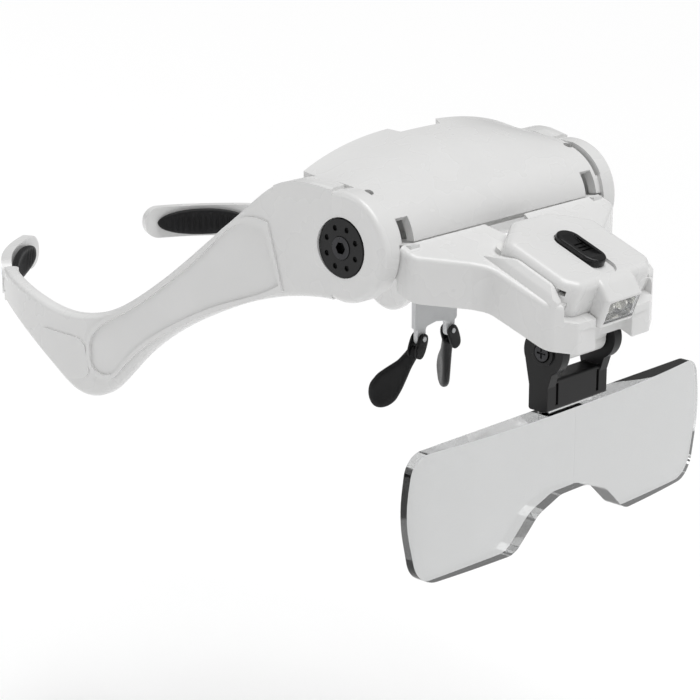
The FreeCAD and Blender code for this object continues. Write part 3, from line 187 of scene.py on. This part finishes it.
screw_steel = turned_metal("zinc_plated_steel", (0.60, 0.61, 0.62), rough=0.3, lines=900.0, grain_axis=0)
dress(screw_steel, *both("pivot_nut"), *both("paddle_pin"), *both("nose_pad_pin"),
      "nose_guide_screws", "lamp_screws", "clip_leaf")
black_steel = turned_metal("blackened_steel", (0.055, 0.055, 0.058), rough=0.34, lines=900.0, grain_axis=0)
dress(black_steel, *both("pivot_screw"), "clip_axle")

# ---------------------------------------------------------------- rear rubber pads
# A soft black rubber pad is bonded inside each rear paddle. It is a long oval with a raised,
# cross-ribbed middle and a plain rolled rim, and it follows the paddle's curve.
ARC_X = 0.002
ARC_Y = 0.109
PADDLE_FACE_R = 0.0716
pad_low, pad_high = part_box("rear_pad_right")
PADDLE_Z = (pad_low[2] + pad_high[2]) / 2.0
PAD_MID_DEG = 39.2
PAD_LENGTH = 0.0330
PAD_HEIGHT = pad_high[2] - pad_low[2]
PAD_THICK = 0.0030
RIB_PITCH = 0.0021
RIB_DEPTH = 0.00065
RIB_BORDER = 0.0018
BOND_GAP = 0.00002
OVAL_POWER = 2.1
RING_POWER = 3.0


def soft_rubber(name, colour, rough, grain):
    """Matte elastomer: dusty tone in patches and a close pebbled skin."""
    mat, shader = new_material(name, {"IOR": 1.5, "Specular IOR Level": 0.25, "Sheen Weight": 0.04,
                                      "Sheen Roughness": 0.5})
    dust = object_pattern(mat, "ShaderNodeTexNoise", 170.0, {"Detail": 4.0})
    tint(mat, shader, spread(mat, dust.outputs["Fac"], 0.0, 1.0), colour, tuple(c * 1.9 for c in colour))
    skin = object_pattern(mat, "ShaderNodeTexVoronoi", 1.0 / grain)
    polish = spread(mat, skin.outputs["Distance"], rough + 0.08, rough - 0.05, 0.0, 0.7)
    mat.node_tree.links.new(polish, shader.inputs["Roughness"])
    relief(mat, shader, skin.outputs["Distance"], 0.00003, 0.4)
    return mat


def loop_surface(name, points, flip=False):
    """Mesh from an array of closed rings, [ring, place round the ring, xyz], with a point cap at each end.

    The first and last rings have shrunk to a point: their points are replaced by one vertex each,
    joined to the next ring by triangles, so that both poles are closed.
    """
    rings, around = points.shape[:2]
    inner = points[1:-1].reshape(-1, 3)
    verts = np.vstack([points[0, :1], inner, points[-1, :1]])
    k = np.arange(around)
    nxt = (k + 1) % around
    first = np.column_stack([np.zeros(around, int), 1 + nxt, 1 + k]).tolist()
    base = 1 + (rings - 3) * around
    end = len(verts) - 1
    last = np.column_stack([base + k, base + nxt, np.full(around, end)]).tolist()
    row = (np.arange(rings - 3)[:, None] * around + 1)
    quads = np.stack([row + k, row + nxt, row + around + nxt, row + around + k], axis=-1)
    faces = first + quads.reshape(-1, 4).tolist() + last
    if flip:
        faces = [f[::-1] for f in faces]
    mesh = bpy.data.meshes.new(name)
    mesh.from_pydata(verts.tolist(), [], faces)
    mesh.polygons.foreach_set("use_smooth", np.ones(len(mesh.polygons), bool))
    mesh.update()
    obj = bpy.data.objects.new(name, mesh)
    bpy.context.scene.collection.objects.link(obj)
    return obj


def rib_pad(side):
    """Cross-sections along the arm's arc, each a superellipse of power 3.

    Seen square to its face the pad is a long ellipse of power 2.1. Thickness fades at the ends
    with the fourth root of the width. The inner face is lowered by a row of cosine grooves, one
    each rib pitch, inside a border that fades with the superellipse.
    """
    half = PAD_LENGTH / 2.0
    along = half * np.sin(np.linspace(-1.0, 1.0, 221) * math.pi / 2.0)
    shape = np.clip(1.0 - (np.abs(along) / half) ** OVAL_POWER, 0.0, 1.0)
    width = PAD_HEIGHT / 2.0 * shape ** (1.0 / OVAL_POWER)
    thick = PAD_THICK * shape ** 0.25
    turn = np.linspace(0.0, 2.0 * math.pi, 56, endpoint=False)
    power = 2.0 / RING_POWER
    across = np.sign(np.cos(turn)) * np.abs(np.cos(turn)) ** power
    up = np.sign(np.sin(turn)) * np.abs(np.sin(turn)) ** power
    z = width[:, None] * across[None, :]
    rib = 0.5 - 0.5 * np.cos(along / RIB_PITCH * 2.0 * math.pi)
    border = np.clip(1.0 - (np.abs(along) / (half - RIB_BORDER)) ** 8, 0.0, 1.0)
    middle = np.clip(1.25 - np.abs(across) ** 2 * 1.9, 0.0, 1.0) * (up > 0)
    cut = RIB_DEPTH * (rib * border)[:, None] * middle[None, :]
    rise = thick[:, None] * (0.5 + 0.5 * up[None, :]) - cut
    heading = math.radians(PAD_MID_DEG) - along[:, None] / (PADDLE_FACE_R - PAD_THICK / 2.0)
    radius = PADDLE_FACE_R - BOND_GAP - rise
    x = side * -(ARC_X - radius * np.sin(heading))
    y = ARC_Y + radius * np.cos(heading)
    return np.stack([x, y, PADDLE_Z + z], axis=-1)


pad_rubber = soft_rubber("black_pad_rubber", (0.005, 0.005, 0.0055), rough=0.55, grain=0.0004)
for word, side, body in (("right", -1.0, "paddle_r"), ("left", 1.0, "paddle_l")):
    pad = loop_surface("soft_rear_pad_" + word, rib_pad(side), flip=side > 0)
    pad.data.materials.append(pad_rubber)
    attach(pad, body)
    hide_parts("rear_pad_" + word)

# ---------------------------------------------------------------- nose bridge
# A thin grey nylon plate slides in the guide under the crown. Two black silicone leaves snap
# over its feet and rock on short pins.
smoky_nylon, smoky_shader = new_material("smoky_nylon", {"IOR": 1.5, "Transmission Weight": 0.06})
smoky_cloud = object_pattern(smoky_nylon, "ShaderNodeTexNoise", 120.0, {"Detail": 4.0})
tint(smoky_nylon, smoky_shader, spread(smoky_nylon, smoky_cloud.outputs["Fac"], 0.0, 1.0),
     (0.66, 0.67, 0.68), (0.74, 0.75, 0.76))
smoky_grain = object_pattern(smoky_nylon, "ShaderNodeTexNoise", 1500.0, {"Detail": 3.0})
smoky_nylon.node_tree.links.new(spread(smoky_nylon, smoky_grain.outputs["Fac"], 0.3, 0.36),
                                smoky_shader.inputs["Roughness"])
relief(smoky_nylon, smoky_shader, smoky_grain.outputs["Fac"], 0.00001, 0.4)
dress(smoky_nylon, "nose_plate")

LEAF_ROOT = Vector((-0.0073, 0.0127, -0.0424))
LEAF_AXIS = Vector((-0.345, 0.375, -0.86)).normalized()
LEAF_LENGTH = 0.0233
LEAF_HALF_T = 0.00165
LEAF_STEM_HALF = 0.002
LEAF_TIP_FROM = 0.74
LEAF_ROOT_TO = 0.05
BOWL_DEPTH = 0.0005
BOWL_HALF = 0.72
pin_low, pin_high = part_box("nose_pad_pin_right")
PIN_X = -(pin_low[0] + pin_high[0]) / 2.0
PIN_Y = (pin_low[1] + pin_high[1]) / 2.0
PIN_Z = (pin_low[2] + pin_high[2]) / 2.0
EAR_HALF_WIDE = 0.0023
EAR_HALF_TALL = 0.0041
EAR_DROP = 0.0024
silicone = soft_rubber("black_silicone", (0.005, 0.005, 0.0055), rough=0.42, grain=0.0006)


def leaf_pad(side):
    """Rings down the leaf's axis, each a superellipse of power 2.6.

    Half width runs smoothly from a stem through a wide belly to a blunt tip, and ends as a quarter
    ellipse. The middle of each ring moves out by half of what it is wider than the stem, so that
    one edge is nearly straight and the other bulges. Both faces are dished inside a rolled rim.
    """
    normal = Vector((-0.8, -0.5, 0.0))
    normal = (normal - LEAF_AXIS * normal.dot(LEAF_AXIS)).normalized()
    across = LEAF_AXIS.cross(normal)
    place = 0.5 - 0.5 * np.cos(np.linspace(0.0, math.pi, 97))
    knots = np.array([0.0, 0.12, 0.3, 0.45, 0.6, 0.75, 0.88, 0.96, 1.0])
    widths = np.array([2.0, 2.0, 2.5, 3.6, 4.6, 4.9, 4.7, 4.5, 4.3]) / 1000.0
    fine = np.linspace(0.0, 1.0, 400)
    kernel = np.hanning(61)
    steps = np.convolve(np.pad(np.interp(fine, knots, widths), 30, mode="edge"), kernel / kernel.sum(),
                        mode="valid")
    past_tip = np.clip((place - LEAF_TIP_FROM) / (1.0 - LEAF_TIP_FROM), 0.0, 1.0)
    before_root = np.clip((LEAF_ROOT_TO - place) / LEAF_ROOT_TO, 0.0, 1.0)
    tip = np.sqrt(np.clip(1.0 - past_tip ** 2, 0.0, 1.0))
    root = np.sqrt(np.clip(1.0 - before_root ** 2, 0.0, 1.0))
    full = np.interp(place, fine, steps)
    width = full * tip * root
    thick = LEAF_HALF_T * np.sqrt(tip * root)
    drift = 0.5 * (full - LEAF_STEM_HALF)
    turn = np.linspace(0.0, 2.0 * math.pi, 48, endpoint=False)
    power = 2.0 / 2.6
    side_way = np.sign(np.cos(turn)) * np.abs(np.cos(turn)) ** power
    face_way = np.sign(np.sin(turn)) * np.abs(np.sin(turn)) ** power
    belly = np.clip((width - 0.003) / 0.002, 0.0, 1.0)
    dish = np.clip(1.0 - (side_way / BOWL_HALF) ** 2, 0.0, 1.0)
    bowl = BOWL_DEPTH * belly[:, None] * dish[None, :]
    off = thick[:, None] * face_way[None, :] - bowl * np.sign(face_way)[None, :]
    along = place * LEAF_LENGTH
    spots = (np.array(LEAF_ROOT)[None, None, :] + along[:, None, None] * np.array(LEAF_AXIS)
             + (drift[:, None] + width[:, None] * side_way[None, :])[..., None] * np.array(across)
             + off[..., None] * np.array(normal))
    spots[..., 0] *= -side
    return spots


def snap_ear(side, y0, y1):
    """A rounded plate between two planes of Y: rings run through its thickness.

    Each ring is the same long superellipse laid along the leaf's own line, which starts above the
    pin and runs down over the stem, drawn in near both faces so that its edge is rolled.
    """
    depth = 0.5 - 0.5 * np.cos(np.linspace(0.0, math.pi, 15))
    shrink = np.sqrt(np.sqrt(np.clip(1.0 - (2.0 * depth - 1.0) ** 8, 0.0, 1.0)))
    turn = np.linspace(0.0, 2.0 * math.pi, 40, endpoint=False)
    power = 2.0 / 2.8
    wide = EAR_HALF_WIDE * np.sign(np.cos(turn)) * np.abs(np.cos(turn)) ** power
    tall = EAR_HALF_TALL * np.sign(np.sin(turn)) * np.abs(np.sin(turn)) ** power
    lean = Vector((LEAF_AXIS.x, LEAF_AXIS.z)).normalized()
    x = -PIN_X + lean.x * EAR_DROP + shrink[:, None] * (-lean.y * wide + lean.x * tall)[None, :]
    x = -side * x
    z = PIN_Z + lean.y * EAR_DROP + shrink[:, None] * (lean.x * wide + lean.y * tall)[None, :]
    y = (y0 + (y1 - y0) * depth)[:, None] + np.zeros_like(x)
    return np.stack([x, y, z], axis=-1)


def joined(name, parts):
    """One object out of several mesh objects."""
    with bpy.context.temp_override(active_object=parts[0], selected_editable_objects=parts):
        bpy.ops.object.join()
    parts[0].name = name
    return parts[0]


EAR_IN = 0.0011
EAR_OUT = 0.0020
for word, side, body in (("right", -1.0, "nose_pad_r"), ("left", 1.0, "nose_pad_l")):
    pieces = [loop_surface("leaf", leaf_pad(side), flip=side > 0)]
    for near, far in ((PIN_Y - EAR_OUT, PIN_Y - EAR_IN), (PIN_Y + EAR_IN, PIN_Y + EAR_OUT)):
        pieces.append(loop_surface("ear", snap_ear(side, near, far), flip=side < 0))
    leaf = joined("soft_nose_pad_" + word, pieces)
    leaf.data.materials.append(silicone)
    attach(leaf, body)
    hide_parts("nose_pad_" + word)

# ---------------------------------------------------------------- slide switch button
# A black ABS pill with a dished, grooved top, glossier than the nylon parts.
button_black = moulded("black_button_abs", (0.007, 0.007, 0.0075), rough=0.24, grain=0.0009,
                       depth=0.00002, edge=0.0004, fade=0.7, gloss=0.35)
dress(button_black, "slide_button")

# ---------------------------------------------------------------- power parts inside the lamp
# Nickel-plated coin cells, spring brass contacts and green glass-fibre boards with a
# woven texture under the solder mask.
cell_nickel = turned_metal("nickel_plate", (0.68, 0.67, 0.64), rough=0.28, lines=700.0, grain_axis=1)
dress(cell_nickel, "coin_cell_lower", "coin_cell_upper")
spring_brass = turned_metal("spring_brass", (0.72, 0.53, 0.25), rough=0.3, lines=800.0, grain_axis=2)
dress(spring_brass, "contact_spring", "side_contact")
board_green, board_shader = new_material("solder_mask", {"Roughness": 0.35, "Coat Weight": 0.3})
weave = object_pattern(board_green, "ShaderNodeTexBrick", 900.0, {"Mortar Size": 0.04})
tint(board_green, board_shader, weave.outputs["Fac"], (0.012, 0.10, 0.035), (0.02, 0.16, 0.06))
relief(board_green, board_shader, weave.outputs["Fac"], 0.00002, 0.4)
dress(board_green, "circuit_board", "led_board")

# ---------------------------------------------------------------- lights, reflector and window
# Two clear resin bulbs stand in a bright metallised cup behind a small clear window in
# the lamp's nose.
bright_cup = turned_metal("metallised_cup", (0.88, 0.89, 0.90), rough=0.12, lines=500.0, grain_axis=1)
dress(bright_cup, "reflector")


def clear_plastic(name, colour, ior, rough, ripple, waves):
    """Clear plastic: transmission with a faint moulded ripple and a little haze in patches."""
    mat, shader = new_material(name, {"IOR": ior, "Transmission Weight": 1.0})
    flow = object_pattern(mat, "ShaderNodeTexNoise", waves, {"Detail": 2.0, "Distortion": 0.8})
    tint(mat, shader, spread(mat, flow.outputs["Fac"], 0.0, 1.0), tuple(c * 0.985 for c in colour), colour)
    mat.node_tree.links.new(spread(mat, flow.outputs["Fac"], rough * 0.4, rough * 1.6),
                            shader.inputs["Roughness"])
    relief(mat, shader, flow.outputs["Fac"], ripple, 0.3)
    return mat


resin = clear_plastic("bulb_resin", (0.98, 0.97, 0.90), ior=1.5, rough=0.05, ripple=0.00002, waves=700.0)
dress(resin, *both("led"))
window_clear = clear_plastic("window_plastic", (0.97, 0.97, 0.97), ior=1.46, rough=0.02,
                             ripple=0.00001, waves=300.0)
dress(window_clear, "light_window")

# ---------------------------------------------------------------- lens
# One polished acrylic moulding carries both magnifying halves. They bulge forward and meet
# at a faint seam over the nose arch, with a tab that plugs up into the clip.
lens_acrylic = clear_plastic("optical_acrylic", (0.61, 0.615, 0.615), ior=1.49, rough=0.012,
                             ripple=0.000012, waves=45.0)
dress(lens_acrylic, "lens")

# ---------------------------------------------------------------- studio
# Plain pale floor well below the visor, a broad soft light overhead, a square one behind the
# wearer's right shoulder and an even pale surround. The camera looks from the wearer's right front.
floor_mesh = bpy.data.meshes.new("studio_floor")
FLOOR_HALF = 14.0
FLOOR_Z = -0.21
floor_mesh.from_pydata([(-FLOOR_HALF, -FLOOR_HALF, FLOOR_Z), (FLOOR_HALF, -FLOOR_HALF, FLOOR_Z),
                        (FLOOR_HALF, FLOOR_HALF, FLOOR_Z), (-FLOOR_HALF, FLOOR_HALF, FLOOR_Z)], [],
                       [(0, 1, 2, 3)])
studio_floor = bpy.data.objects.new("studio_floor", floor_mesh)
bpy.context.scene.collection.objects.link(studio_floor)
floor_paper, floor_shader = new_material("floor_paper", {"Roughness": 0.9, "Specular IOR Level": 0.0})
paper_tone = object_pattern(floor_paper, "ShaderNodeTexNoise", 2.0, {"Detail": 2.0})
tint(floor_paper, floor_shader, paper_tone.outputs["Fac"], (0.985, 0.985, 0.985), (0.995, 0.995, 0.995))
floor_mesh.materials.append(floor_paper)

SURROUND_STRENGTH = 0.23
world = bpy.data.worlds.new("studio_surround")
world.use_nodes = True
world.node_tree.nodes["Background"].inputs["Color"].default_value = (1.0, 1.0, 1.0, 1.0)
world.node_tree.nodes["Background"].inputs["Strength"].default_value = SURROUND_STRENGTH
bpy.context.scene.world = world


def light(name, kind, energy, way, place=(0.0, 0.0, 0.0)):
    """A light of one kind that shines along a direction; its own data is returned."""
    data = bpy.data.lights.new(name, kind)
    data.energy = energy
    lamp = bpy.data.objects.new(name, data)
    lamp.location = place
    lamp.rotation_mode = "QUATERNION"
    lamp.rotation_quaternion = way.to_track_quat("-Z", "Y")
    bpy.context.scene.collection.objects.link(lamp)
    return data


SIDE_PLACE = Vector((-2.0, 1.6, 0.9))
VISOR_MIDDLE = Vector((0.0, 0.0, -0.02))
side_soft = light("side_soft", "AREA", 10.0, VISOR_MIDDLE - SIDE_PLACE, SIDE_PLACE)
side_soft.size = 1.3
overhead = light("overhead", "SUN", 2.45, Vector((-0.12, 0.28, -1.0)))
overhead.angle = math.radians(50.0)

AZIMUTH = math.radians(-46.29)
ELEVATION = math.radians(16.84)
EYE = Vector((-0.5229, -0.4516, 0.1664))
camera_data = bpy.data.cameras.new("view")
camera_data.lens = 120.0
camera_data.sensor_width = 36.0
camera_data.clip_start = 0.05
camera = bpy.data.objects.new("view", camera_data)
back = Vector((math.sin(AZIMUTH) * math.cos(ELEVATION), -math.cos(AZIMUTH) * math.cos(ELEVATION),
               math.sin(ELEVATION)))
right = Vector((math.cos(AZIMUTH), math.sin(AZIMUTH), 0.0))
up = back.cross(right)
turned = Matrix((right, up, back)).transposed().to_4x4()
camera.matrix_world = Matrix.Translation(EYE) @ turned
bpy.context.scene.collection.objects.link(camera)
bpy.context.scene.camera = camera
bpy.context.scene.view_settings.view_transform = "Standard"
